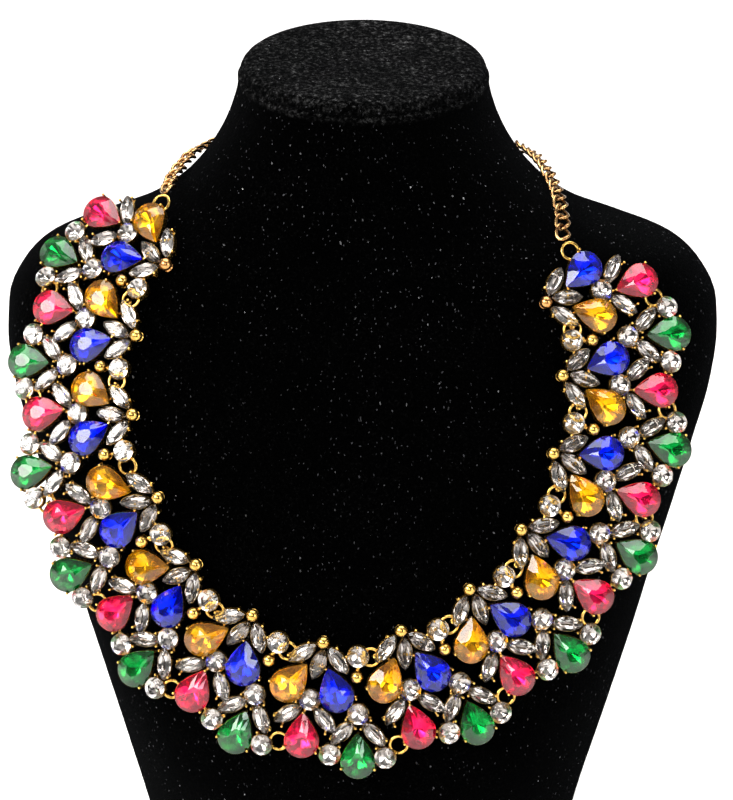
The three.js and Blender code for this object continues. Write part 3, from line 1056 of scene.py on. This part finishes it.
def chain_mesh(name, points, seed):
    """Twisted oval links, each through the next."""
    dice = random.Random(seed)
    line = catmull_rom(points)
    length = sum((b - a).length for a, b in zip(line, line[1:]))
    count = round(length / CHAIN_PITCH)
    shape = Shape()
    for n in range(count):
        centre, along = along_line(line, length * (n + 0.5) / count)
        hang = max(0.0, min(1.0, (26 - centre.y) / 16))
        out = bust_out(centre) + Vector((0, -1.1, 0.5)) * hang
        out = (out - along * out.dot(along)).normalized()
        roll = math.radians(dice.uniform(-9, 9))
        side = out.cross(along)
        out, side = (
            out * math.cos(roll) + side * math.sin(roll),
            side * math.cos(roll) - out * math.sin(roll),
        )
        path = []
        for k in range(36):
            t = 2 * math.pi * k / 36
            x = LINK_LONG * math.copysign(abs(math.cos(t)) ** 0.91, math.cos(t))
            y = LINK_BROAD * math.copysign(abs(math.sin(t)) ** 0.91, math.sin(t))
            twist = LINK_TWIST * x / LINK_LONG
            path.append(
                centre + along * x + side * y * math.cos(twist) + out * y * math.sin(twist)
            )
        shape.add(*tube(path, LINK_WIRE, 10, closed=True))
    return shape.made(name, [CHAIN_GOLD])


for node, points, seed in (("chain_left", CHAIN_LEFT, 3), ("chain_right", CHAIN_RIGHT, 8)):
    links = chain_mesh(node + "_links", points, seed)
    place(node + "_links", links, Matrix(), [node])


def clasp_mesh():
    """A lobster claw on a swivel ring, shut on the other half's last ring. x runs along the chain."""

    def flat(points, bend=0.0):
        return [Vector((x, bend, z)) for x, z in points]

    def circle(x, z, radius, count=32, tilt=0.0):
        made = []
        for k in range(count):
            angle = 2 * math.pi * k / count
            side = radius * math.sin(angle)
            made.append(
                Vector((x + radius * math.cos(angle), side * math.sin(tilt), z + side * math.cos(tilt)))
            )
        return made

    shape = Shape()
    shape.add(*tube(circle(-6.1, 0, 1.35, tilt=0.5), 0.33, 10, closed=True))
    back = [(-4.7, 0), (-4.1, 0.5), (-3.0, 1.15), (-1.4, 1.75), (0.6, 2.05), (2.4, 1.8), (3.8, 1.1),
            (4.5, 0.1), (4.3, -0.9), (3.5, -1.5), (2.7, -1.7)]
    shape.add(*tube(flat(back), [0.55, 0.75, 0.95, 1.0, 0.92, 0.8, 0.68, 0.6, 0.52, 0.45, 0.36], 14))
    gate = [(-4.1, -0.3), (-3.0, -1.0), (-1.5, -1.55), (0.4, -1.85), (2.2, -1.9), (3.3, -1.75)]
    shape.add(*tube(flat(gate), [0.6, 0.72, 0.62, 0.5, 0.44, 0.36], 12))
    lever = [(-2.0, -1.7), (-1.5, -2.35), (-0.9, -2.55)]
    shape.add(*tube(flat(lever), [0.42, 0.36, 0.3], 10))
    shape.add(*tube([Vector((-5.1, 0, 0)), Vector((-4.2, 0, 0))], [0.62, 0.62], 14))
    shape.add(*tube(circle(5.85, -0.1, 1.5, tilt=1.1), 0.36, 10, closed=True))
    return shape.made("clasp_claw", [CHAIN_GOLD])


clasp_at = Matrix.Translation(Vector(CLASP_AT) * MM)
place("clasp_claw", clasp_mesh(), clasp_at, ["clasp"])

# ---------------------------------------------------------------- floor, light and air


def floor():
    """A wide pale floor just under the bust."""
    material, tree, shader, where = node_tree("pale_floor")
    shader.inputs["Roughness"].default_value = 0.85
    shader.inputs["Specular IOR Level"].default_value = 0.1
    cloud = noise_of(tree, where, 3.0, 3, 0.5)
    tree.links.new(
        ramp_of(tree, cloud, [(0.3, (0.93, 0.915, 0.90)), (0.7, (0.95, 0.94, 0.93))]),
        shader.inputs["Base Color"],
    )
    weave = noise_of(tree, where, 900, 2, 0.5)
    bump_of(tree, shader, weave, 0.1, 0.0002)
    work = bmesh.new()
    bmesh.ops.create_circle(work, cap_ends=True, segments=96, radius=6.0)
    mesh = bpy.data.meshes.new("floor")
    work.to_mesh(mesh)
    work.free()
    mesh.materials.append(material)
    thing = bpy.data.objects.new("floor", mesh)
    bpy.context.scene.collection.objects.link(thing)
    thing.location.z = -0.0003


LIGHTS_AIM = Vector((0, 0, 0.13))


def softbox(name, at, size, power, colour=(1, 1, 1)):
    """A rectangular light that faces the necklace."""
    light = bpy.data.lights.new(name, "AREA")
    light.shape = "RECTANGLE"
    light.size, light.size_y = size
    light.energy = power
    light.color = colour
    thing = bpy.data.objects.new(name, light)
    thing.location = at
    thing.rotation_euler = (LIGHTS_AIM - Vector(at)).to_track_quat("-Z", "Y").to_euler()
    bpy.context.scene.collection.objects.link(thing)


floor()
softbox("key_light", (-0.97, -0.82, 1.0), (0.85, 0.75), 33, (1.0, 0.98, 0.95))
softbox("fill_light", (1.15, -0.9, 0.55), (0.35, 0.8), 9, (0.95, 0.97, 1.0))
softbox("top_light", (0.1, 0.35, 1.7), (1.8, 1.2), 40)
softbox("low_front_light", (-0.1, -1.6, 0.95), (0.5, 0.3), 8)

world = bpy.data.worlds.new("studio")
bpy.context.scene.world = world
world.use_nodes = True
tree = world.node_tree
sky = tree.nodes["Background"]
way = tree.nodes.new("ShaderNodeTexCoord").outputs["Generated"]
parts = tree.nodes.new("ShaderNodeSeparateXYZ")
tree.links.new(way, parts.inputs["Vector"])
rise = maths(tree, "MULTIPLY_ADD", parts.outputs["Z"], 0.5)
rise.node.inputs[2].default_value = 0.5
shade = ramp_of(tree, rise, [(0.0, 0.9), (0.53, 0.95), (0.60, 0.22), (0.80, 0.30), (1.0, 0.7)])
front = maths(tree, "MULTIPLY_ADD", parts.outputs["Y"], -0.5)
front.node.inputs[2].default_value = 0.5
dim = ramp_of(tree, front, [(0.0, 1.0), (0.70, 1.0), (0.84, 0.20), (1.0, 0.12)])
tree.links.new(mixed(tree, 1.0, shade, dim, "MULTIPLY"), sky.inputs["Color"])
sky.inputs["Strength"].default_value = 1.0

bpy.context.scene.view_settings.view_transform = "Standard"
